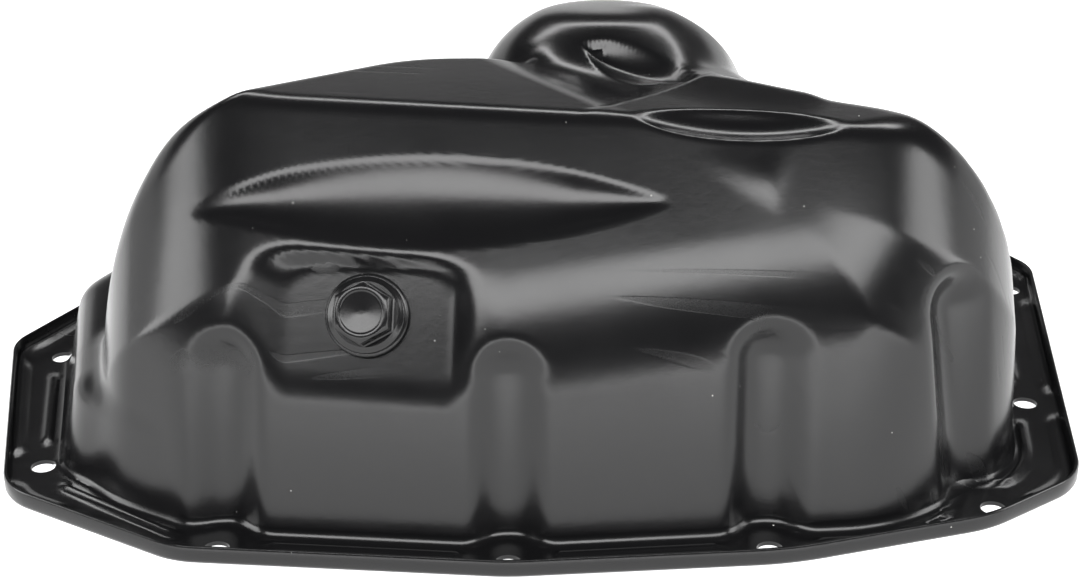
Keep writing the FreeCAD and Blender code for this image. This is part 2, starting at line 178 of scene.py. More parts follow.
def outline_distance(p: Field, corners: Sequence[Corner], sides: Sequence[Plane]) -> Field:
    """Distance to a body with rounded upright corners.

    Args:
        p: Points, last axis x, y, z.
        corners: x, y and corner radius.
        sides: One plane per side.

    Returns:
        Signed distances, negative inside.
    """
    walls = [side.distance(p) for side in sides]
    body = walls[0]
    for i, (_, _, radius) in enumerate(corners):
        cosine = sides[i - 1].cosine(sides[i])
        body = np.maximum(body, round_corner(walls[i - 1], walls[i], cosine, radius))
    return body


def oval_distance(p: Field, centre: Field, half: Sequence[float]) -> Field:
    """Distance to an upright ellipsoid.

    Args:
        p: Points, last axis x, y, z.
        centre: Middle of the ellipsoid.
        half: Three half axes; an infinite one makes a column.

    Returns:
        Signed distances, negative inside.
    """
    u, v, w = np.moveaxis((p - centre) / np.array(half), -1, 0)
    first = np.sqrt(u * u + v * v + w * w) + TINY
    second = np.sqrt((u / half[0]) ** 2 + (v / half[1]) ** 2 + (w / half[2]) ** 2) + TINY
    return first * (first - 1.0) / second


# The pan's pressed form


@dataclass(frozen=True)
class Lens:
    """Lens-shaped recess: middle on the surface, direction of its length, way out, half sizes, depth.

    soft is the rounding of the rim for a punch, and the power of the cross profile for a pressed face.
    """

    middle: tuple[float, float, float]
    along: tuple[float, float, float]
    out: tuple[float, float, float]
    half_length: float
    half_width: float
    depth: float
    soft: float

    TIP_TAPER = 1.6
    REACH_INWARDS = (-14.0, -8.0)

    def _directions(self) -> tuple[Field, Field, Field]:
        """Unit vectors along the recess, across it and outwards."""
        out = np.array(self.out) / np.linalg.norm(self.out)
        across = np.cross(out, np.array(self.along))
        across /= np.linalg.norm(across)
        return np.cross(across, out), across, out

    def distance(self, p: Field) -> Field:
        """Distance to a ring-shaped punch, for a recess that cuts across an edge.

        Args:
            p: Points, last axis x, y, z.

        Returns:
            Signed distances, negative inside the punch.
        """
        along, across, out = self._directions()
        tube = (self.half_width ** 2 + self.depth ** 2) / (2.0 * self.depth)
        reach = (self.half_length ** 2 + self.depth ** 2) / (2.0 * self.depth)
        q = p - (np.array(self.middle) + out * (reach - self.depth))
        ring = np.maximum(np.hypot(q @ along, q @ out) - (reach - tube), 0.0)
        return np.hypot(ring, q @ across) - tube

    def sunk(self, p: Field) -> Field:
        """How deep the sheet is pressed in, for a recess in a face that may be curved.

        Args:
            p: Points, last axis x, y, z.

        Returns:
            Depths, nothing outside the lens.
        """
        along, across, out = self._directions()
        q = p - np.array(self.middle)
        reach = self.half_width * np.maximum(1.0 - ((q @ along) / self.half_length) ** 2, 1e-3)
        share = np.clip(1.0 - np.abs(q @ across) / reach, 0.0, 1.0)
        taper = np.minimum(reach / self.half_width * self.TIP_TAPER, 1.0)
        taper = taper * smooth_step(q @ out, *self.REACH_INWARDS)
        return self.depth * taper * (1.0 - (1.0 - share) ** self.soft)


@dataclass(frozen=True)
class PanSizes:
    """Driving sizes of the pressed pan."""

    sheet: float = 1.2
    lip_height: float = 5.1
    bead_rise: float = 1.1
    hole_radius: float = 3.5
    outer_bead: tuple[float, float] = (0.6, 5.6)
    inner_bead: tuple[float, float] = (2.6, 6.0)
    outer_bead_gap: float = 11.0
    inner_bead_gap: float = 13.0
    foot_bend: float = 3.0
    tray_height: float = 28.0
    tray_lean: float = 0.24
    tray_edge: float = 8.0
    upper_lean: float = 0.92
    upper_foot: tuple[float, float] = (-100.3, 36.0)
    upper_bend: float = 65.0
    top_height: float = 105.2
    top_fall: float = 0.042
    top_pivot: float = -37.0
    left_round: float = 40.0
    right_round: float = 52.0
    right_foot: float = 144.0
    right_lean: float = 0.04
    rear_lean: float = 0.33
    rear_height: float = 100.0
    ends_middle: float = 4.0
    ends_run: tuple[float, float] = (78.0, 118.0)
    shoulder_run: tuple[float, float] = (78.0, 106.0)
    hump_centre: tuple[float, float] = (20.5, 41.0)
    hump_half: tuple[float, float, float] = (39.3, 37.0, 33.0)
    hump_top: float = 110.0
    hump_cut: float = 2.6
    hump_fall: float = 0.1
    hump_flare: float = 6.0
    spur_centre: tuple[float, float] = (98.2, 42.1)
    spur_radius: float = 62.9
    spur_turns: tuple[float, float] = (184.0, 246.0)
    spur_heights: tuple[float, float] = (105.6, 96.6)
    spur_slope: float = 0.32
    spur_width: float = 24.0
    spur_crest_round: float = 3.0
    spur_flank_lean: float = 0.22
    spur_reach: float = 34.0
    shoulder_swell: float = 13.0


@dataclass(frozen=True)
class ValleySizes:
    """Valley of the flat top before the hump: a long slant and a crisp-edged pocket beside it."""

    slant_line: tuple[float, float, float] = (0.777, 0.63, 6.4)
    slant_run: tuple[float, float] = (-3.0, 30.0)
    slant_depth: float = 6.6
    pocket_point: tuple[float, float] = (23.7, -26.0)
    pocket_way: tuple[float, float] = (-0.685, 0.729)
    pocket_step: tuple[float, float] = (-0.6, 2.4)
    pocket_step_depth: float = 2.4
    pocket_run: tuple[float, float] = (1.0, 18.0)
    pocket_run_depth: float = 4.4


@dataclass(frozen=True)
class Blends:
    """Widths of the soft transitions between the pressed forms."""

    hump_spur: float = 8.0
    hump_sump: float = 10.0
    sump_tray: float = 5.0
    flute: float = 4.0
    pad_edge: float = 1.4
    pad_sides: float = 5.0
    pad_face: float = 0.7
    top_edge: tuple[float, float] = (2.6, 7.0)
    rear_edge: tuple[float, float] = (3.4, 11.0)
    rear_corners: tuple[float, float] = (10.0, 6.0)
    hump_rim: float = 3.0
    spur_flank: float = 14.0
    spur_ends: float = 5.0
    valley: float = 0.8


FLANGE_CORNERS: list[Corner] = [
    (-7.6, -104.9, 60.0), (66.0, -98.6, 90.0), (122.0, -81.4, 40.0), (151.4, -60.0, 22.0),
    (171.0, 84.0, 16.0), (148.0, 123.5, 22.0), (-131.0, 90.5, 24.0), (-166.6, 24.0, 15.0),
    (-147.0, -66.4, 20.0), (-95.4, -97.4, 26.0),
]
BOLTS = [
    (-84.4, -92.2), (-7.6, -98.9), (61.2, -92.2), (124.4, -71.6), (147.3, -10.4), (161.0, 72.0),
    (124.4, 113.0), (61.2, 105.6), (-7.6, 97.5), (-84.4, 88.4), (-150.4, 20.6), (-140.2, -48.8),
]
FOOT_CORNERS: list[Corner] = [
    (-8.0, -92.6, 60.0), (94.5, -82.9, 40.0), (135.1, -48.8, 30.0), (153.0, 78.0, 18.0),
    (138.0, 106.5, 20.0), (-123.0, 75.5, 24.0), (-148.5, 21.0, 18.0), (-134.5, -53.5, 24.0),
    (-89.8, -85.3, 34.0),
]
TRAY_SETBACKS = [9.0, 6.0, 1.5, 0.0, 0.0, 0.0, 0.0, 0.0, 9.0]
SUMP_CORNERS: list[Corner] = [
    (-8.0, -92.6, 80.0), (96.0, -82.9, 46.0), (137.0, -48.8, 40.0), (146.0, 60.0, 20.0),
    (-146.0, 60.0, 20.0), (-124.5, -62.0, 34.0), (-89.8, -85.3, 42.0),
]
SUMP_LEANS = [0.205, 0.155, 0.045, 0.18, 0.12, 0.17, 0.205]
FLUTE_WAYS = [(0.03, 0.19, 1.0), (0.0, 0.205, 1.0), (0.0, 0.205, 1.04), (-0.16, 0.2, 1.14)]
REAR_LINES = [((-40.0, 6.0), 38.0), ((65.0, -10.0), -21.8), ((-28.0, 9.0), 8.0)]
LONG_LENS_AT = (-29.0, 84.6)
FRONT_SIDES = (4, 5, 6, 0, 1, 2)
LEFT_SIDE = 4


@dataclass(frozen=True)
class PadFrame:
    """Place of the flat drain pad: middle of the plug's seat and the three directions, in mm."""

    middle: np.ndarray
    side: np.ndarray
    up: np.ndarray
    out: np.ndarray

    @classmethod
    def from_record(cls, record: dict) -> "PadFrame":
        """Reads the plug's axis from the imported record.

        Args:
            record: The frame's record.

        Returns:
            The pad's place in the drawing.
        """
        joint = next(j for j in record["behaviour"]["joints"] if j["name"] == "plug_turn")
        out = np.array(joint["axis"], float)
        out /= np.linalg.norm(out)
        side = np.array([-out[1], out[0], 0.0])
        side /= np.linalg.norm(side)
        middle = np.array(joint["pos_m"], float) / MM + DATUM
        return cls(middle, side, np.cross(out, side), out)

    def local(self, p: Field) -> tuple[Field, Field, Field]:
        """Distances of points sideways, up the slope and outwards, as seen on the pad."""
        q = p - self.middle
        return q @ self.side, q @ self.up, q @ self.out

    def matrix(self, out_shift: float = 0.0) -> Matrix:
        """Takes millimetres drawn round the pad's middle to the frame's metres.

        Args:
            out_shift: How far to move outwards first, in mm.

        Returns:
            A 4 by 4 matrix.
        """
        place = self.middle - DATUM + self.out * out_shift
        rows = [[self.side[i] * MM, self.up[i] * MM, self.out[i] * MM, place[i] * MM] for i in range(3)]
        return Matrix(rows + [[0.0, 0.0, 0.0, 1.0]])


class PanForm:
    """Signed distance to the pan's outer form, built up as the press tools would shape it."""

    PAD_HALF_WIDTH = 22.2
    PAD_UP = 13.0
    PAD_SIDE_SPREAD = 2.4
    PAD_TOP_SPREAD = 1.0
    FLUTE_RADIUS = 10.0
    FLUTE_TOP = 47.0
    FLUTE_BELOW = 10.0

    def __init__(self, sizes: PanSizes, pad: PadFrame) -> None:
        """Args:
            sizes: Driving sizes.
            pad: Place of the drain pad.
        """
        self.sizes = s = sizes
        self.pad = pad
        self.dip = ValleySizes()
        self.blends = Blends()
        lean = math.atan(s.upper_lean)
        self.upper = Plane((0.0, *s.upper_foot), (0.0, -math.cos(lean), math.sin(lean)))
        fall = math.atan(s.top_fall)
        self.top = Plane((s.top_pivot, 0.0, s.top_height), (math.sin(fall), 0.0, math.cos(fall)))
        lean = math.atan(s.right_lean)
        self.right = Plane((s.right_foot, 0.0, 0.0), (math.cos(lean), 0.0, math.sin(lean)))
        self.rears = [self._rear(point, angle) for point, angle in REAR_LINES]
        self.sump_sides = leaning_sides(SUMP_CORNERS, SUMP_LEANS)
        self.left = self.sump_sides[LEFT_SIDE]
        self.tray_sides = leaning_sides(FOOT_CORNERS, [s.tray_lean] * len(FOOT_CORNERS), TRAY_SETBACKS)
        self.lenses = self._lenses()
        self.ridge_punch = self._ridge_punch()

    def _rear(self, point: tuple[float, float], angle: float) -> Plane:
        """Leaning plane behind the sump."""
        turn, lean = math.radians(angle), math.atan(self.sizes.rear_lean)
        normal = (-math.sin(turn) * math.cos(lean), math.cos(turn) * math.cos(lean), math.sin(lean))
        return Plane((point[0], point[1], self.sizes.rear_height), normal)

    def front_y(self, z: float) -> float:
        """Where the upper front wall stands at a height."""
        return self.sizes.upper_foot[0] + self.sizes.upper_lean * (z - self.sizes.upper_foot[1])

    def _lenses(self) -> list[Lens]:
        """The lens-shaped recesses of the front wall and of the valley before the hump."""
        x, z = LONG_LENS_AT
        return [
            Lens((x, self.front_y(z), z), (1, 0, 0), self.upper.normal, 64.5, 12.6, 2.0, 2.0),
            Lens((29.5, 7.5, 99.4), (0.822, -0.569, 0), (-0.1, -0.35, 1), 20.5, 8.0, 2.3, 1.5),
        ]

    def _ridge_punch(self) -> Lens:
        """The recess that cuts across the front ridge."""
        along = (1, 0, -self.sizes.top_fall)
        return Lens((57.0, -37.4, 100.6), along, (0, -0.35, 0.94), 25.5, 7.4, 3.8, 0.6)

    def sump(self, p: Field) -> Field:
        """Deep sump: rounded outline, leaning upper front, falling top, planes behind."""
        s, blend = self.sizes, self.blends
        plan = outline_distance(p, SUMP_CORNERS, self.sump_sides)
        upper = self.upper.distance(p)
        for i in FRONT_SIDES:
            side = self.sump_sides[i]
            cosine = self.upper.cosine(side)
            plan = np.maximum(plan, round_corner(upper, side.distance(p), cosine, s.upper_bend))
        top = self.top.distance(p) + self.valley(p)
        belt = np.maximum(
            round_corner(top, self.left.distance(p), self.top.cosine(self.left), s.left_round),
            round_corner(top, self.right.distance(p), self.top.cosine(self.right), s.right_round),
        )
        ends = smooth_step(np.abs(p[..., 0] - s.ends_middle), *s.ends_run)
        body = soft_max(plan, belt, blend.top_edge[0] + blend.top_edge[1] * ends)
        shoulder = smooth_step(-p[..., 0], *s.shoulder_run)
        rear = self.rears[0].distance(p) - s.shoulder_swell * shoulder
        for plane, width in zip(self.rears[1:], blend.rear_corners):
            rear = soft_max(rear, plane.distance(p), width)
        return soft_max(body, rear, blend.rear_edge[0] + blend.rear_edge[1] * shoulder)

    def valley(self, p: Field) -> Field:
        """How far the flat top falls away between its slanting edge and the crisp pocket edge."""
        d, x, y = self.dip, p[..., 0], p[..., 1]
        behind = d.slant_line[0] * x + d.slant_line[1] * y + d.slant_line[2]
        beside = d.pocket_way[1] * (y - d.pocket_point[1]) + d.pocket_way[0] * (x - d.pocket_point[0])
        slant = d.slant_depth * smooth_step(behind, *d.slant_run)
        pocket = d.pocket_step_depth * smooth_step(beside, *d.pocket_step)
        pocket = pocket + d.pocket_run_depth * smooth_step(beside, *d.pocket_run)
        return soft_min(slant, pocket, self.blends.valley)

    def hump(self, p: Field) -> Field:
        """Rear hump: upper half of an ellipsoid on an oval column that widens downwards."""
        s = self.sizes
        base = s.hump_top + s.hump_cut - s.hump_half[2]
        centre = np.array([s.hump_centre[0], s.hump_centre[1], base])
        level = p.copy()
        level[..., 2] += s.hump_fall * (p[..., 1] - s.hump_centre[1])
        dome = oval_distance(level, centre, s.hump_half)
        dome = soft_max(dome, level[..., 2] - s.hump_top, self.blends.hump_rim)
        flare = s.hump_flare * np.clip((base - p[..., 2]) / base, 0.0, 1.0)
        column = oval_distance(p, centre, (s.hump_half[0], s.hump_half[1], math.inf)) - flare
        return np.where(level[..., 2] > base, dome, column)

    def spur(self, p: Field) -> Field:
        """Curved crest that runs from the hump forwards to the flat top, falling off on both sides."""
        s = self.sizes
        x, y = p[..., 0] - s.spur_centre[0], p[..., 1] - s.spur_centre[1]
        low, high = math.radians(s.spur_turns[0]), math.radians(s.spur_turns[1])
        turn = np.arctan2(y, x) % (2.0 * math.pi)
        share = np.clip((turn - low) / (high - low), 0.0, 1.0)
        crest = s.spur_heights[0] + (s.spur_heights[1] - s.spur_heights[0]) * share
        off = np.hypot(x, y) - s.spur_radius
        fall = s.spur_slope * (np.sqrt(off * off + s.spur_crest_round ** 2) - s.spur_crest_round)
        roof = (p[..., 2] - crest + fall) * math.cos(math.atan(s.spur_slope))
        flank = -off - s.spur_width - s.spur_flank_lean * (s.spur_heights[1] - p[..., 2])
        ends = np.maximum(x * math.sin(low) - y * math.cos(low), y * math.cos(high) - x * math.sin(high))
        body = soft_max(roof, flank, self.blends.spur_flank)
        return soft_max(body, np.maximum(ends, off - s.spur_reach), self.blends.spur_ends)

    def tray(self, p: Field) -> Field:
        """Shallow tray over the whole opening."""
        roof = p[..., 2] - self.sizes.tray_height
        walls = outline_distance(p, FOOT_CORNERS, self.tray_sides)
        lean = math.atan(self.sizes.tray_lean)
        return round_corner(walls, roof, math.sin(lean), self.sizes.tray_edge)

    def drain_pad(self, p: Field) -> Field:
        """Punch that presses the flat drain pad into the bulging bend, with sloping sides and top."""
        sideways, up, out = self.pad.local(p)
        side_angle, top_angle = math.atan(self.PAD_SIDE_SPREAD), math.atan(self.PAD_TOP_SPREAD)
        side = (np.abs(sideways) - self.PAD_HALF_WIDTH) * math.cos(side_angle) - out * math.sin(side_angle)
        ledge = (up - self.PAD_UP) * math.cos(top_angle) - out * math.sin(top_angle)
        return soft_max(soft_max(side, ledge, self.blends.pad_sides), -out, self.blends.pad_face)

    def flute(self, p: Field, bolt: int) -> Field:
        """Punch of the groove that makes room for a bolt's head: a bar with a round upper end."""
        x, y = BOLTS[bolt]
        foot = np.array([x, y, -self.FLUTE_BELOW])
        axis = np.array(FLUTE_WAYS[bolt]) * (self.FLUTE_TOP + self.FLUTE_BELOW)
        length = float(np.linalg.norm(axis))
        axis /= length
        q = p - foot
        along = np.clip(q @ axis, 0.0, length)
        return np.linalg.norm(q - along[..., None] * axis, axis=-1) - self.FLUTE_RADIUS

    def distance(self, p: Field) -> Field:
        """Signed distance to the outer form without the flange.

        Args:
            p: Points, last axis x, y, z.

        Returns:
            One distance per point, negative inside.
        """
        blend = self.blends
        body = soft_min(self.hump(p), self.spur(p), blend.hump_spur)
        body = soft_min(self.sump(p), body, blend.hump_sump)
        body = soft_min(body, self.tray(p), blend.sump_tray)
        for lens in self.lenses:
            body = body + lens.sunk(p)
        body = soft_max(body, -self.ridge_punch.distance(p), self.ridge_punch.soft)
        for bolt in range(len(FLUTE_WAYS)):
            body = soft_max(body, -self.flute(p, bolt), blend.flute)
        return soft_max(body, -self.drain_pad(p), blend.pad_edge)


# Meshes


def to_frame(points: Field) -> Field:
    """Takes drawing millimetres to the frame's metres."""
    return (points - DATUM) * MM


def add_object(name: str, data: bpy.types.ID) -> bpy.types.Object:
    """Puts a mesh, a lamp or a camera into the scene as an object at the origin."""
    obj = bpy.data.objects.new(name, data)
    bpy.context.scene.collection.objects.link(obj)
    return obj


def mark_sharp(mesh: bpy.types.Mesh, degrees: float) -> None:
    """Shades a mesh smooth apart from edges that turn by more than an angle.

    Args:
        mesh: The mesh.
        degrees: Smallest angle of a sharp edge.
    """
    bm = bmesh.new()
    bm.from_mesh(mesh)
    for face in bm.faces:
        face.smooth = True
    for edge in bm.edges:
        edge.smooth = not (edge.is_manifold and edge.calc_face_angle(0.0) > math.radians(degrees))
    bm.to_mesh(mesh)
    bm.free()


def ring_mesh(name: str, rings: Field, closed: bool = False) -> bpy.types.Mesh:
    """Closed mesh through rings of points.

    Args:
        name: Mesh name.
        rings: Points in metres as ring, place on the ring, x y z; rings run from the upper pole down.
        closed: True joins the last ring to the first, False closes both ends with a point.

    Returns:
        The mesh.
    """
    count, around, _ = rings.shape
    verts = rings.reshape(-1, 3)
    rows = np.arange(count * around).reshape(count, around)
    upper, lower = (rows, np.roll(rows, -1, axis=0)) if closed else (rows[:-1], rows[1:])
    quads = np.stack([upper, lower, np.roll(lower, -1, axis=1), np.roll(upper, -1, axis=1)], axis=-1)
    faces = quads.reshape(-1, 4).tolist()
    if not closed:
        verts = np.vstack([verts, rings[0].mean(axis=0), rings[-1].mean(axis=0)])
        first, last = count * around, count * around + 1
        for i in range(around):
            j = (i + 1) % around
            faces.append((first, int(rows[0, i]), int(rows[0, j])))
            faces.append((last, int(rows[-1, j]), int(rows[-1, i])))
    mesh = bpy.data.meshes.new(name)
    mesh.from_pydata(verts.tolist(), [], faces)
    mesh.validate()
    mesh.update()
    return mesh


class PanBuilder:
    """Makes the pan's sheet as one closed mesh of rings, cast from a point inside it."""

    EYE = (-8.0, 2.0, -30.0)
    AROUND = 440
    OUTER_RINGS = 171
    INNER_RINGS = 22
    BAND_RINGS = 11
    CROWDING = -0.35
    NEAR = 20.0
    FAR = 260.0
    STEPS = 34
    HALVINGS = 13
    PLAN_HALVINGS = 24
    OVERLAP = 0.2
    WELL_EDGE = -2.3
    BEAD_RAMP = (0.3, 1.1)
    GAP_RAMP = (-0.6, 1.4)
    LIP_INSIDE = ((1.55, 1.55), (1.2, 2.3))
    LIP_CREST = ((1.2, -0.45), (0.95, 0.0), (0.3, 0.0), (0.0, -0.4))
    LIP_OUTSIDE = ((0.0, 1.1), (0.35, 0.3), (1.1, 0.0))

    def __init__(self, sizes: PanSizes, form: PanForm) -> None:
        """Args:
            sizes: Driving sizes.
            form: The pan's pressed form.
        """
        self.sizes = sizes
        self.form = form
        self.eye = np.array(self.EYE)
        self.turns = self._turns()
        self.ways = np.stack([np.cos(self.turns), np.sin(self.turns)], axis=-1)
        self.flange_sides = leaning_sides(FLANGE_CORNERS)
        self.foot_sides = leaning_sides(FOOT_CORNERS)
        self.foot = self._plan_reach(FOOT_CORNERS, self.foot_sides, sizes.inner_bead[0] - self.OVERLAP)

    def _turns(self) -> Field:
        """Directions round the eye, closer together on the side with the drain plug."""
        fine = np.linspace(-math.pi, math.pi, 4001)
        weight = 0.65 + np.exp(-((fine + math.pi / 2.0) / 1.25) ** 2)
        weight += 0.5 * np.exp(-((fine - 0.6) / 0.8) ** 2)
        weight += 0.4 * np.exp(-((np.abs(fine) - math.pi) / 0.4) ** 2)
        total = np.concatenate([[0.0], np.cumsum((weight[1:] + weight[:-1]) / 2.0)])
        places = np.arange(self.AROUND) / self.AROUND * total[-1]
        return np.interp(places, total, fine)

    def _plan_reach(self, corners: Sequence[Corner], sides: Sequence[Plane], offset: float) -> Field:
        """How far from the eye an outline lies in every direction, moved out by offset."""
        low, high = np.zeros(self.AROUND), np.full(self.AROUND, self.FAR)
        for _ in range(self.PLAN_HALVINGS):
            middle = (low + high) / 2.0
            inside = outline_distance(self._plan_points(middle), corners, sides) < offset
            low, high = np.where(inside, middle, low), np.where(inside, high, middle)
        return low

    def _plan_points(self, reach: Field) -> Field:
        """Points on the sealing plane at a distance from the eye."""
        flat = self.eye[:2] + self.ways * reach[..., None]
        return np.concatenate([flat, np.zeros(flat.shape[:-1] + (1,))], axis=-1)

    def _cast(self, directions: Field, surface: Callable[[Field], Field]) -> Field:
        """Where rays from the eye leave a body."""
        steps = np.linspace(self.NEAR, self.FAR, self.STEPS)
        low = np.full(directions.shape[:-1], steps[0])
        high = np.full(directions.shape[:-1], steps[-1])
        open_rays = np.ones(directions.shape[:-1], bool)
        for step in steps[1:]:
            outside = surface(self.eye + directions * step) > 0.0
            found = open_rays & outside
            high = np.where(found, step, high)
            open_rays &= ~outside
            low = np.where(open_rays, step, low)
        for _ in range(self.HALVINGS):
            middle = (low + high) / 2.0
            inside = surface(self.eye + directions * middle[..., None]) < 0.0
            low, high = np.where(inside, middle, low), np.where(inside, high, middle)
        return self.eye + directions * ((low + high) / 2.0)[..., None]

    def _skin(self, rings: int, plane_z: float, inset: float) -> Field:
        """Rings over one face of the sheet, from the crown down to the flange."""
        lowest = np.arctan2(plane_z - self.eye[2], self.foot)
        even = np.arange(1, rings + 1) / rings
        share = (even + self.CROWDING * np.sin(2.0 * math.pi * even) / (2.0 * math.pi))[:, None]
        rise = math.pi / 2.0 - (math.pi / 2.0 - lowest)[None, :] * share
        flat = self.ways[None] * np.cos(rise)[..., None]
        rays = np.concatenate([flat, np.sin(rise)[..., None]], axis=-1)

        def surface(p: Field) -> Field:
            """Form of this face, filleted into the flange's plane."""
            return soft_min(self.form.distance(p) + inset, p[..., 2] - plane_z, self.sizes.foot_bend)

        return self._cast(rays, surface)

    def bead_height(self, p: Field) -> Field:
        """How high the flange's beads stand above its flat face."""
        edge = -outline_distance(p, FLANGE_CORNERS, self.flange_sides)
        foot = outline_distance(p, FOOT_CORNERS, self.foot_sides)
        near = np.full(p.shape[:-1], 1e9)
        for x, y in BOLTS:
            near = np.minimum(near, np.hypot(p[..., 0] - x, p[..., 1] - y))
        height = np.zeros(p.shape[:-1])
        beads = ((edge, self.sizes.outer_bead, self.sizes.outer_bead_gap),
                 (foot, self.sizes.inner_bead, self.sizes.inner_bead_gap))
        out, into = self.BEAD_RAMP
        for place, (low, high), gap in beads:
            bead = smooth_step(place, low - out, low + into)
            bead = bead * (1.0 - smooth_step(place, high - into, high + out))
            clear = smooth_step(near, gap + self.GAP_RAMP[0], gap + self.GAP_RAMP[1])
            height = np.maximum(height, bead * clear)
        return height * self.sizes.bead_rise

    def _flange(self) -> tuple[Field, Field]:
        """Rings over the flange's upper side and lip, and rings over its underside."""
        s = self.sizes
        well = self._plan_reach(FLANGE_CORNERS, self.flange_sides, self.WELL_EDGE)
        upper, lower = [], []
        for i in range(1, self.BAND_RINGS + 1):
            share = i / self.BAND_RINGS
            p = self._plan_points(self.foot + (well - self.foot) * share)
            bead = self.bead_height(p)
            top, bottom = p.copy(), p.copy()
            top[..., 2] = s.sheet + bead
            bottom[..., 2] = bead
            upper.append(top)
            lower.append(bottom)
        crest = tuple((inset, s.lip_height + rise) for inset, rise in self.LIP_CREST)
        for inset, z in self.LIP_INSIDE + crest + self.LIP_OUTSIDE:
            p = self._plan_points(self._plan_reach(FLANGE_CORNERS, self.flange_sides, -inset))
            p[..., 2] = z
            upper.append(p)
        return np.array(upper), np.array(lower[::-1])

    def build(self) -> bpy.types.Mesh:
        """Builds the whole sheet.

        Returns:
            A closed mesh in metres.
        """
        outer = self._skin(self.OUTER_RINGS, self.sizes.sheet, 0.0)
        inner = self._skin(self.INNER_RINGS, 0.0, self.sizes.sheet)
        upper, lower = self._flange()
        rings = np.concatenate([outer, upper, lower, inner[::-1]])
        return ring_mesh("pan_sheet", to_frame(rings))


def drill(obj: bpy.types.Object, cutters: Sequence[bpy.types.Object]) -> None:
    """Cuts holes and leaves a plain mesh; does nothing without cutters.

    Args:
        obj: Object to drill.
        cutters: Closed objects, removed afterwards.
    """
    if not cutters:
        return
    for cutter in cutters:
        step = obj.modifiers.new("hole", "BOOLEAN")
        step.operation = "DIFFERENCE"
        step.solver = "MANIFOLD"
        step.object = cutter
    depsgraph = bpy.context.evaluated_depsgraph_get()
    mesh = bpy.data.meshes.new_from_object(obj.evaluated_get(depsgraph))
    obj.modifiers.clear()
    obj.data = mesh
    for cutter in cutters:
        bpy.data.objects.remove(cutter)


def turned(profile: Sequence[tuple[float, float]], around: int,
           shape: Callable[[Field, float, float], Field] | None = None) -> Field:
    """Rings of a turned piece, from its outer end to its inner end.

    Args:
        profile: Radius and height pairs in mm.
        around: Points on each ring.
        shape: Optional change of the radius by angle, radius and height.

    Returns:
        Points as ring, place, x y z in mm.
    """
    angles = np.arange(around) / around * 2.0 * math.pi
    rings = []
    for radius, height in profile:
        r = np.full(around, radius) if shape is None else shape(angles, radius, height)
        rings.append(np.stack([r * np.cos(angles), r * np.sin(angles), np.full(around, height)], axis=-1))
    return np.array(rings)


def hex_radius(angles: Field, across: float) -> Field:
    """Radius by angle of a hexagon with a corner at the top, from its width over two flats."""
    sector = math.pi / 3.0
    local = (angles - math.pi / 2.0) % sector - sector / 2.0
    return across / 2.0 / np.cos(local)


FLANK_SLOPE = 2.6
CREST_FLAT = 0.12


def thread_radius(angles: Field, height: float, outer: float, pitch: float, depth: float) -> Field:
    """Radius of a right-hand screw thread at a height, by angle.

    Args:
        angles: Angles in radians.
        height: Place along the axis.
        outer: Radius of the crest.
        pitch: Rise of one turn.
        depth: Depth of the root.

    Returns:
        Radii.
    """
    phase = (height / pitch - angles / (2.0 * math.pi)) % 1.0
    ramp = np.clip(np.abs(phase - 0.5) * FLANK_SLOPE - CREST_FLAT, 0.0, 1.0)
    return outer - depth * ramp


# Pieces


class Piece:
    """A finished piece: the CAD node it stands for, its body, its slot and the angle of its sharp edges."""

    NODE = ""
    BODY = ""
    SLOT = Slot.SHEET
    SHARP = 40.0

    def __init__(self, sizes: "PanSizes | PlugSizes", pad: PadFrame) -> None:
        """Args:
            sizes: Driving sizes.
            pad: Place of the drain pad.
        """
        self.sizes = sizes
        self.pad = pad

    def mesh(self) -> bpy.types.Mesh:
        """Closed mesh of the piece in metres."""
        raise NotImplementedError

    def cutters(self) -> list[bpy.types.Object]:
        """Bars to be drilled out of it; none for most pieces."""
        return []

    def build(self, material: bpy.types.Material) -> bpy.types.Object:
        """Builds the piece in place of its CAD node.

        Args:
            material: Its finish.

        Returns:
            The finished object.
        """
        obj = add_object(self.NODE + "_finished", self.mesh())
        obj.data.materials.append(material)
        drill(obj, self.cutters())
        mark_sharp(obj.data, self.SHARP)
        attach(obj, self.BODY)
        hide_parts(self.NODE)
        return obj


class OilPan(Piece):
    """Pressed sheet steel pan."""

    NODE, BODY, SLOT = "oil_pan", "pan", Slot.SHEET
    SHARP = 50.0
    BORE_RADIUS = 6.4
    HOLE_BAR = (12.0, -8.0)
    BORE_BAR = (6.0, -6.0)

    def cutters(self) -> list[bpy.types.Object]:
        """Round bars through every bolt hole and through the drain pad."""
        cutters = []
        for x, y in BOLTS:
            bar = turned([(self.sizes.hole_radius, z) for z in self.HOLE_BAR], 40)
            bar += np.array([x, y, 0.0])
            cutters.append(add_object("hole_bar", ring_mesh("hole_bar", to_frame(bar))))
        bore = ring_mesh("bore_bar", turned([(self.BORE_RADIUS, z) for z in self.BORE_BAR], 48))
        bore.transform(self.pad.matrix())
        cutters.append(add_object("bore_bar", bore))
        return cutters

    def mesh(self) -> bpy.types.Mesh:
        """Closed mesh of the sheet, before its holes are drilled."""
        return PanBuilder(self.sizes, PanForm(self.sizes, self.pad)).build()


@dataclass(frozen=True)
class PlugSizes:
    """Driving sizes of the drain plug, its gasket and the weld nut."""

    gap: float = 0.3
    thread: float = 6.0
    pitch: float = 1.25
    thread_depth: float = 0.75
    length: float = 16.0
    across: float = 14.0
    head: float = 7.0
    flange: float = 10.2
    flange_height: float = 2.2
    gasket: float = 11.0
    gasket_height: float = 2.0
    gasket_bore: float = 6.35
    nut: float = 11.5
    nut_height: float = 10.0
    nut_play: float = 0.05
    sheet: float = 1.2


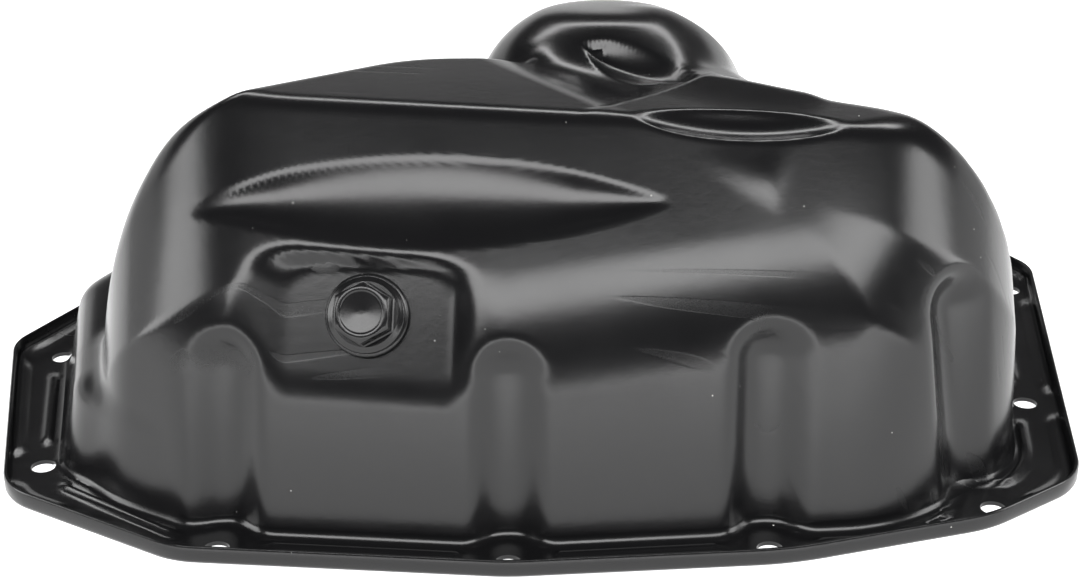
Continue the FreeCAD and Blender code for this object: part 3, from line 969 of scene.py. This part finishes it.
class DrainPlug(Piece):
    """Threaded plug with a round flange and a hexagon head."""

    NODE, BODY, SLOT = "drain_plug", "plug", Slot.PLUG
    AROUND = 144
    ROWS_PER_TURN = 10
    SHARP = 28.0
    CROWN_SHARE = 0.47
    CHAMFER = 31.0
    DISH = ((0.4, 0.62), (1.3, 0.6), (1.9, 0.42), (4.9, 0.42), (5.35, 0.3), (5.6, 0.06), (5.75, 0.0))
    RUN_OUT = (-0.4, 1.6)

    def _head_rings(self) -> Field:
        """Rings of the hexagon head with its turned chamfer and shallow dish, from the crown down."""
        s = self.sizes
        base = s.gasket_height + s.flange_height - 0.2
        top = s.gasket_height + s.flange_height + s.head
        crown = s.across * self.CROWN_SHARE
        angles = np.arange(self.AROUND) / self.AROUND * 2.0 * math.pi
        hexagon = hex_radius(angles, s.across)
        chamfer = top - np.maximum(hexagon - crown, 0.0) * math.tan(math.radians(self.CHAMFER))
        rings = [(radius, top - drop) for radius, drop in self.DISH]
        rings += [
            (crown - 0.25, top), (np.minimum(hexagon - 0.05, crown + 0.1), top - 0.07),
            (hexagon - 0.12, chamfer + 0.02), (hexagon, chamfer - 0.14),
            (hexagon, base + 0.9), (hexagon + 0.12, base + 0.45), (hexagon + 0.5, base + 0.1),
        ]
        flat = np.zeros(self.AROUND)
        x, y = np.cos(angles), np.sin(angles)
        return np.array([np.stack([r * x, r * y, h + flat], axis=-1) for r, h in rings])

    def _flange_rings(self) -> Field:
        """Rings of the round flange, from the head down to the shank."""
        s = self.sizes
        low = s.gasket_height
        high = low + s.flange_height
        profile = [
            (8.55, high - 0.1), (8.75, high - 0.22), (s.flange - 0.95, high - 0.62),
            (s.flange - 0.35, high - 0.85), (s.flange - 0.1, high - 1.1), (s.flange, high - 1.35),
            (s.flange, low + 0.25), (s.flange - 0.2, low), (s.thread + 0.45, low),
            (s.thread + 0.05, low - 0.35),
        ]
        return turned(profile, self.AROUND)

    def _shank_rings(self) -> Field:
        """Rings of the threaded shank with a run-out under the flange and a chamfered tip."""
        s = self.sizes
        rows = int((s.length + 0.6) / s.pitch * self.ROWS_PER_TURN)
        heights = np.linspace(0.6, -s.length, rows + 1)

        def shape(angles: Field, radius: float, height: float) -> Field:
            """Thread that starts gently under the flange and ends in a chamfer."""
            start = float(smooth_step(np.array(-height), *self.RUN_OUT))
            cut = thread_radius(angles, height, s.thread, s.pitch, s.thread_depth * start)
            return np.minimum(cut, s.thread + 0.05 - 0.9 * max(0.0, 1.0 - (height + s.length)))

        rings = turned([(s.thread, float(h)) for h in heights], self.AROUND, shape)
        end = turned([(4.6, -s.length), (1.0, -s.length)], self.AROUND)
        return np.concatenate([rings, end])

    def mesh(self) -> bpy.types.Mesh:
        """Closed mesh of the piece in metres."""
        rings = np.concatenate([self._head_rings(), self._flange_rings(), self._shank_rings()])
        mesh = ring_mesh("drain_plug", rings)
        mesh.transform(self.pad.matrix(2.0 * self.sizes.gap))
        return mesh


class PlugGasket(Piece):
    """Sealing washer with two pressed rings."""

    NODE, BODY, SLOT = "plug_gasket", "gasket", Slot.GASKET
    AROUND = 128

    def mesh(self) -> bpy.types.Mesh:
        """Closed mesh of the piece in metres."""
        s = self.sizes
        top, edge, bore = s.gasket_height, s.gasket, s.gasket_bore
        profile = [
            (bore, top - 0.15), (bore + 0.15, top), (edge - 0.75, top), (edge - 0.62, top - 0.08),
            (edge - 0.45, top - 0.12), (edge - 0.2, top - 0.3), (edge - 0.02, top - 0.62),
            (edge, top - 0.8), (edge - 0.12, top * 0.5), (edge, 0.8), (edge - 0.02, 0.62),
            (edge - 0.2, 0.25), (edge - 0.6, 0.0), (bore + 0.15, 0.0), (bore, 0.15),
        ]
        mesh = ring_mesh("plug_gasket", turned(profile, self.AROUND), closed=True)
        mesh.transform(self.pad.matrix(s.gap))
        return mesh


class WeldNut(Piece):
    """Round weld nut behind the pad, with its thread."""

    NODE, BODY, SLOT = "drain_nut", "pan", Slot.NUT
    AROUND = 96

    def mesh(self) -> bpy.types.Mesh:
        """Closed mesh of the piece in metres."""
        s = self.sizes
        bore = s.thread + s.nut_play
        height = s.nut_height
        outside = [
            (bore + 0.8, height), (s.nut - 0.5, height), (s.nut - 0.12, height - 0.15),
            (s.nut, height - 0.5), (s.nut, 1.1), (s.nut - 0.15, 0.85), (s.nut - 1.0, 0.0),
            (bore + 0.8, 0.0), (bore + 0.25, 0.35),
        ]
        rows = int(height / s.pitch * 8)
        heights = np.linspace(0.6, height - 0.6, rows)

        def shape(angles: Field, radius: float, place: float) -> Field:
            """Inside of the same thread, with play."""
            return 2.0 * bore - thread_radius(angles, place, bore, s.pitch, s.thread_depth * 0.8) + 0.02

        inside = turned([(bore, float(h)) for h in heights], self.AROUND, shape)
        last = turned([(bore + 0.25, height - 0.35)], self.AROUND)
        rings = np.concatenate([turned(outside, self.AROUND), inside, last])
        mesh = ring_mesh("drain_nut", rings, closed=True)
        mesh.transform(self.pad.matrix(-s.sheet - height))
        return mesh


# Finishes


@dataclass(frozen=True)
class Paint:
    """A painted finish: colour, gloss, how strongly the film ripples and how dusty it is."""

    name: str
    colour: tuple[float, float, float]
    roughness: float
    peel: float
    dust: float
    wear: float


PAN_PAINT = Paint("black_pan_enamel", (0.006, 0.006, 0.0065), 0.22, 0.5, 1.0, 0.3)
NUT_PAINT = Paint("black_nut_enamel", (0.006, 0.006, 0.0065), 0.3, 0.4, 0.2, 0.3)
GASKET_PAINT = Paint("black_washer_coat", (0.007, 0.007, 0.0075), 0.26, 0.3, 0.4, 0.4)
PLUG_PAINT = Paint("black_plug_coat", (0.008, 0.008, 0.0085), 0.22, 0.25, 0.5, 0.7)


RUBBED_EDGE = (0.06, 0.06, 0.062, 1.0)
DUST_COLOUR = (0.62, 0.61, 0.58, 1.0)
WHITE = (1.0, 1.0, 1.0, 1.0)
DUST_SIZES = ((260.0, 0.055, 0.16), (120.0, 0.04, 0.12))
SCRATCH_TURNS = (0.35, 1.2, 2.3)
SCRATCH_STRETCH = (6.0, 420.0, 60.0)


class Wiring:
    """Adds nodes to a tree and joins them, in the order they are written."""

    def __init__(self, tree: bpy.types.NodeTree) -> None:
        """Args:
            tree: The node tree to fill.
        """
        self.tree = tree

    @classmethod
    def fresh(cls, owner: bpy.types.Material | bpy.types.World) -> "Wiring":
        """Starts on the emptied node tree of a material or a world."""
        owner.use_nodes = True
        owner.node_tree.nodes.clear()
        return cls(owner.node_tree)

    def add(self, kind: str, settings: dict | None = None, **inputs: object) -> bpy.types.Node:
        """Adds one node.

        Args:
            kind: Node type.
            settings: Properties of the node.
            inputs: A value or an output socket for each input socket. A socket goes by its name, with
                spaces as underscores, or by i and its number.

        Returns:
            The new node.
        """
        node = self.tree.nodes.new(kind)
        for key, value in (settings or {}).items():
            setattr(node, key, value)
        for key, value in inputs.items():
            socket = node.inputs[int(key[1:])] if key[1:].isdigit() else node.inputs[key.replace("_", " ")]
            if isinstance(value, bpy.types.NodeSocket):
                self.tree.links.new(value, socket)
            else:
                socket.default_value = value
        return node

    def math(self, operation: str, *values: object) -> bpy.types.NodeSocket:
        """Adds a simple step, such as a sum, of up to three numbers or output sockets."""
        inputs = {f"i{i}": value for i, value in enumerate(values)}
        return self.add("ShaderNodeMath", {"operation": operation}, **inputs).outputs[0]

    def ramp(self, value: bpy.types.NodeSocket, low: float, high: float) -> bpy.types.NodeSocket:
        """Smooth step of a value from 0 at low to 1 at high."""
        settings = {"interpolation_type": "SMOOTHSTEP"}
        return self.add("ShaderNodeMapRange", settings, Value=value, From_Min=low, From_Max=high).outputs[0]

    def spot(self) -> bpy.types.NodeSocket:
        """Place on the object in metres."""
        return self.add("ShaderNodeTexCoord").outputs["Object"]

    def noise(self, spot: bpy.types.NodeSocket, scale: float, detail: float,
              roughness: float = 0.5) -> bpy.types.NodeSocket:
        """Noise over a place."""
        return self.add("ShaderNodeTexNoise", Vector=spot, Scale=scale, Detail=detail,
                        Roughness=roughness).outputs["Fac"]

    def mix(self, share: bpy.types.NodeSocket, low: object, high: object) -> bpy.types.NodeSocket:
        """Colour between low, at share 0, and high, at share 1."""
        return self.add("ShaderNodeMix", {"data_type": "RGBA"}, Factor=share, i6=low, i7=high).outputs[2]

    def effect(self, group: bpy.types.NodeTree, **values: float) -> bpy.types.bpy_prop_collection:
        """Adds a shared effect and gives its output sockets."""
        return self.add("ShaderNodeGroup", {"node_tree": group}, **values).outputs


def effect_group(name: str, inputs: Sequence[str], outputs: Sequence[str]) -> tuple[Wiring, object]:
    """Starts a shared shader effect whose sockets are all numbers.

    Args:
        name: Name of the group.
        inputs: Names of its input sockets.
        outputs: Names of its output sockets.

    Returns:
        The group's wiring and its input sockets by name.
    """
    tree = bpy.data.node_groups.new(name, "ShaderNodeTree")
    for key in inputs:
        tree.interface.new_socket(key, in_out="INPUT", socket_type="NodeSocketFloat").default_value = 1.0
    for key in outputs:
        tree.interface.new_socket(key, in_out="OUTPUT", socket_type="NodeSocketFloat")
    return Wiring(tree), tree.nodes.new("NodeGroupInput").outputs


class PaintShop:
    """Makes the painted finishes out of shared effects: film ripple, dust specks and handling marks."""

    def __init__(self) -> None:
        """Makes the three shared effects."""
        self.film = self._film()
        self.dust = self._dust()
        self.marks = self._marks()

    def _film(self) -> bpy.types.NodeTree:
        """Ripple and cloudiness of a sprayed and baked film."""
        w, given = effect_group("sprayed_film", ("Ripple", "Roughness"), ("Roughness", "Height"))
        spot = w.spot()
        grain = w.noise(spot, 2600.0, 1.0)
        ripple = w.math("MULTIPLY_ADD", grain, 0.5, w.noise(spot, 420.0, 2.0))
        cloud = w.math("MULTIPLY_ADD", w.noise(spot, 26.0, 4.0, 0.6), 0.14, -0.07)
        fine = w.math("MULTIPLY_ADD", grain, 0.08, -0.04)
        rough = w.math("ADD", w.math("ADD", given["Roughness"], cloud), fine)
        w.add("NodeGroupOutput", Roughness=rough, Height=w.math("MULTIPLY", ripple, given["Ripple"]))
        return w.tree

    def _dust(self) -> bpy.types.NodeTree:
        """Sparse pale specks of dust in two sizes."""
        w, given = effect_group("dust_specks", ("Amount",), ("Mask",))
        spot = w.spot()
        masks = []
        for scale, radius, keep in DUST_SIZES:
            cells = w.add("ShaderNodeTexVoronoi", {"feature": "F1"}, Vector=spot, Scale=scale).outputs
            pick = w.add("ShaderNodeTexWhiteNoise", {"noise_dimensions": "3D"}, Vector=cells["Position"])
            chance = pick.outputs["Value"]
            size = w.math("MULTIPLY", w.math("MULTIPLY", chance, 1.0 / keep), radius)
            speck = w.math("LESS_THAN", cells["Distance"], size)
            masks.append(w.math("MULTIPLY", speck, w.math("LESS_THAN", chance, keep)))
        w.add("NodeGroupOutput", Mask=w.math("MULTIPLY", w.math("MAXIMUM", *masks), given["Amount"]))
        return w.tree

    def _marks(self) -> bpy.types.NodeTree:
        """Hairline scratches from handling, and rubbed edges."""
        w, given = effect_group("handling_marks", ("Amount",), ("Scratch", "Edge"))
        spot = w.spot()
        lines = 0.0
        for turn in SCRATCH_TURNS:
            turns = (0.4, turn, turn * 0.7)
            laid = w.add("ShaderNodeMapping", Vector=spot, Rotation=turns, Scale=SCRATCH_STRETCH).outputs[0]
            lines = w.math("MAXIMUM", lines, w.ramp(w.noise(laid, 1.0, 0.0), 0.765, 0.79))
        patch = w.ramp(w.noise(spot, 14.0, 2.0), 0.5, 0.62)
        point = w.add("ShaderNodeNewGeometry").outputs["Pointiness"]
        edge = w.math("MULTIPLY", w.ramp(point, 0.56, 0.66), w.ramp(w.noise(spot, 180.0, 3.0), 0.42, 0.62))
        w.add("NodeGroupOutput", Edge=w.math("MULTIPLY", edge, given["Amount"]),
              Scratch=w.math("MULTIPLY", w.math("MULTIPLY", lines, patch), given["Amount"]))
        return w.tree

    def mix(self, paint: Paint) -> bpy.types.Material:
        """Makes a painted finish.

        Args:
            paint: What the finish is like.

        Returns:
            The material.
        """
        material = bpy.data.materials.new(paint.name)
        w = Wiring.fresh(material)
        film = w.effect(self.film, Ripple=paint.peel, Roughness=paint.roughness)
        dust = w.effect(self.dust, Amount=paint.dust)["Mask"]
        marks = w.effect(self.marks, Amount=paint.wear)
        colour = w.mix(dust, w.mix(marks["Edge"], (*paint.colour, 1.0), RUBBED_EDGE), DUST_COLOUR)
        rough = w.math("MAXIMUM", film["Roughness"], w.math("MULTIPLY", dust, 0.9))
        rough = w.math("MULTIPLY_ADD", marks["Scratch"], 0.18, rough)
        relief = w.math("MULTIPLY_ADD", marks["Scratch"], -1.5, film["Height"])
        bump = w.add("ShaderNodeBump", Strength=0.16, Distance=0.00022, Height=relief).outputs[0]
        shader = w.add("ShaderNodeBsdfPrincipled", Base_Color=colour, Roughness=rough, Normal=bump, IOR=1.5,
                       Specular_IOR_Level=0.5)
        w.add("ShaderNodeOutputMaterial", Surface=shader.outputs[0])
        return material


# Studio


@dataclass(frozen=True)
class Softbox:
    """A large soft lamp: place, aim, size in metres and power in watts."""

    name: str
    place: tuple[float, float, float]
    aim: tuple[float, float, float]
    size: tuple[float, float]
    power: float


class Studio:
    """Pale floor, soft lamps and the camera at the photograph's angle."""

    CAMERA_PLACE = (-1.59, -527.54, 269.79)
    CAMERA_PITCH = 65.5
    CAMERA_LENS = 63.33
    SENSOR_WIDTH = 36.0
    CLIP_START = 0.02
    FLOOR_SIZE = 6.0
    LAMPS = (
        Softbox("high_front_box", (0.1, -1.08, 1.2), (0.0, 0.0, 0.04), (2.6, 0.56), 34.0),
        Softbox("low_front_strip", (0.0, -0.62, 0.029), (0.0, 0.0, 0.035), (2.4, 0.052), 1.8),
        Softbox("rear_top_strip", (0.0, 0.8, 1.15), (0.0, 0.0, 0.0), (2.0, 0.22), 11.0),
        Softbox("left_box", (-1.5, -0.2, 0.55), (0.0, 0.0, 0.05), (0.6, 0.9), 9.0),
        Softbox("right_box", (1.5, -0.2, 0.6), (0.0, 0.0, 0.05), (0.6, 0.9), 9.0),
    )
    BACKDROP_HEIGHT = (0.235, 0.3)
    BACKDROP_FRONT = (-0.35, 0.1)
    ROOM_LIGHT = 0.025
    FLOOR_COLOUR = (0.72, 0.72, 0.72, 1.0)
    FLOOR_GLOW = 0.86

    def _floor(self) -> bpy.types.Object:
        """Plain floor that shows as white and keeps a faint shadow."""
        half = self.FLOOR_SIZE / 2.0
        mesh = bpy.data.meshes.new("floor")
        corners = [(-half, -half, 0), (half, -half, 0), (half, half, 0), (-half, half, 0)]
        mesh.from_pydata(corners, [], [(0, 1, 2, 3)])
        floor = add_object("floor", mesh)
        material = bpy.data.materials.new("pale_floor")
        w = Wiring.fresh(material)
        paper = w.add("ShaderNodeBsdfDiffuse", Color=self.FLOOR_COLOUR)
        white = w.add("ShaderNodeEmission", Color=WHITE, Strength=self._shown(w, self.FLOOR_GLOW))
        both = w.add("ShaderNodeAddShader", i0=paper.outputs[0], i1=white.outputs[0])
        w.add("ShaderNodeOutputMaterial", Surface=both.outputs[0])
        mesh.materials.append(material)
        return floor

    @staticmethod
    def _shown(w: Wiring, strength: float) -> bpy.types.NodeSocket:
        """Strength for camera, glossy and transmission rays, nothing for the rest."""
        rays = w.add("ShaderNodeLightPath").outputs
        seen = w.math("MAXIMUM", rays["Is Camera Ray"], rays["Is Glossy Ray"])
        seen = w.math("MAXIMUM", seen, rays["Is Transmission Ray"])
        return w.math("MULTIPLY", seen, strength)

    def _world(self) -> None:
        """Dim room with a white backdrop low behind and beside the object."""
        world = bpy.data.worlds.new("studio")
        bpy.context.scene.world = world
        w = Wiring.fresh(world)
        way = w.add("ShaderNodeSeparateXYZ", Vector=w.add("ShaderNodeTexCoord").outputs["Generated"])
        low = w.math("SUBTRACT", 1.0, w.ramp(way.outputs["Z"], *self.BACKDROP_HEIGHT))
        back = w.ramp(way.outputs["Y"], *self.BACKDROP_FRONT)
        rays = w.add("ShaderNodeLightPath").outputs
        backdrop = w.math("MULTIPLY", w.math("MULTIPLY", low, back), rays["Is Glossy Ray"])
        white = w.math("MAXIMUM", backdrop, rays["Is Camera Ray"])
        strength = w.math("MULTIPLY_ADD", white, 1.0 - self.ROOM_LIGHT, self.ROOM_LIGHT)
        room = w.add("ShaderNodeBackground", Color=WHITE, Strength=strength)
        w.add("ShaderNodeOutputWorld", Surface=room.outputs[0])

    def _lamp(self, box: Softbox) -> None:
        """Hangs one lamp and turns it to its aim."""
        light = bpy.data.lights.new(box.name, "AREA")
        light.shape = "RECTANGLE"
        light.size, light.size_y = box.size
        light.energy = box.power
        lamp = add_object(box.name, light)
        lamp.location = box.place
        way = Vector(box.aim) - Vector(box.place)
        lamp.rotation_euler = way.to_track_quat("-Z", "Y").to_euler()

    def _camera(self) -> None:
        """Camera at the photograph's place."""
        data = bpy.data.cameras.new("camera")
        data.lens = self.CAMERA_LENS
        data.sensor_width = self.SENSOR_WIDTH
        data.clip_start = self.CLIP_START
        camera = add_object("camera", data)
        camera.location = Vector(self.CAMERA_PLACE) * MM
        camera.rotation_euler = (math.radians(self.CAMERA_PITCH), 0.0, 0.0)
        bpy.context.scene.camera = camera

    def build(self) -> None:
        """Sets floor, lamps, world and camera."""
        self._floor()
        for box in self.LAMPS:
            self._lamp(box)
        self._world()
        self._camera()
        bpy.context.scene.view_settings.view_transform = "Standard"


def main() -> None:
    """Builds the finished pieces, their paint and the studio."""
    logging.basicConfig(level=logging.INFO, format="%(name)s: %(message)s")
    pad = PadFrame.from_record(frame["record"])
    shop = PaintShop()
    plug_sizes = PlugSizes()
    pieces = [
        (OilPan(PanSizes(), pad), PAN_PAINT),
        (WeldNut(plug_sizes, pad), NUT_PAINT),
        (PlugGasket(plug_sizes, pad), GASKET_PAINT),
        (DrainPlug(plug_sizes, pad), PLUG_PAINT),
    ]
    for piece, paint in pieces:
        obj = piece.build(shop.mix(paint))
        LOG.info("%s: %d faces", piece.NODE, len(obj.data.polygons))
    Studio().build()


if __name__ == "__main__":
    main()
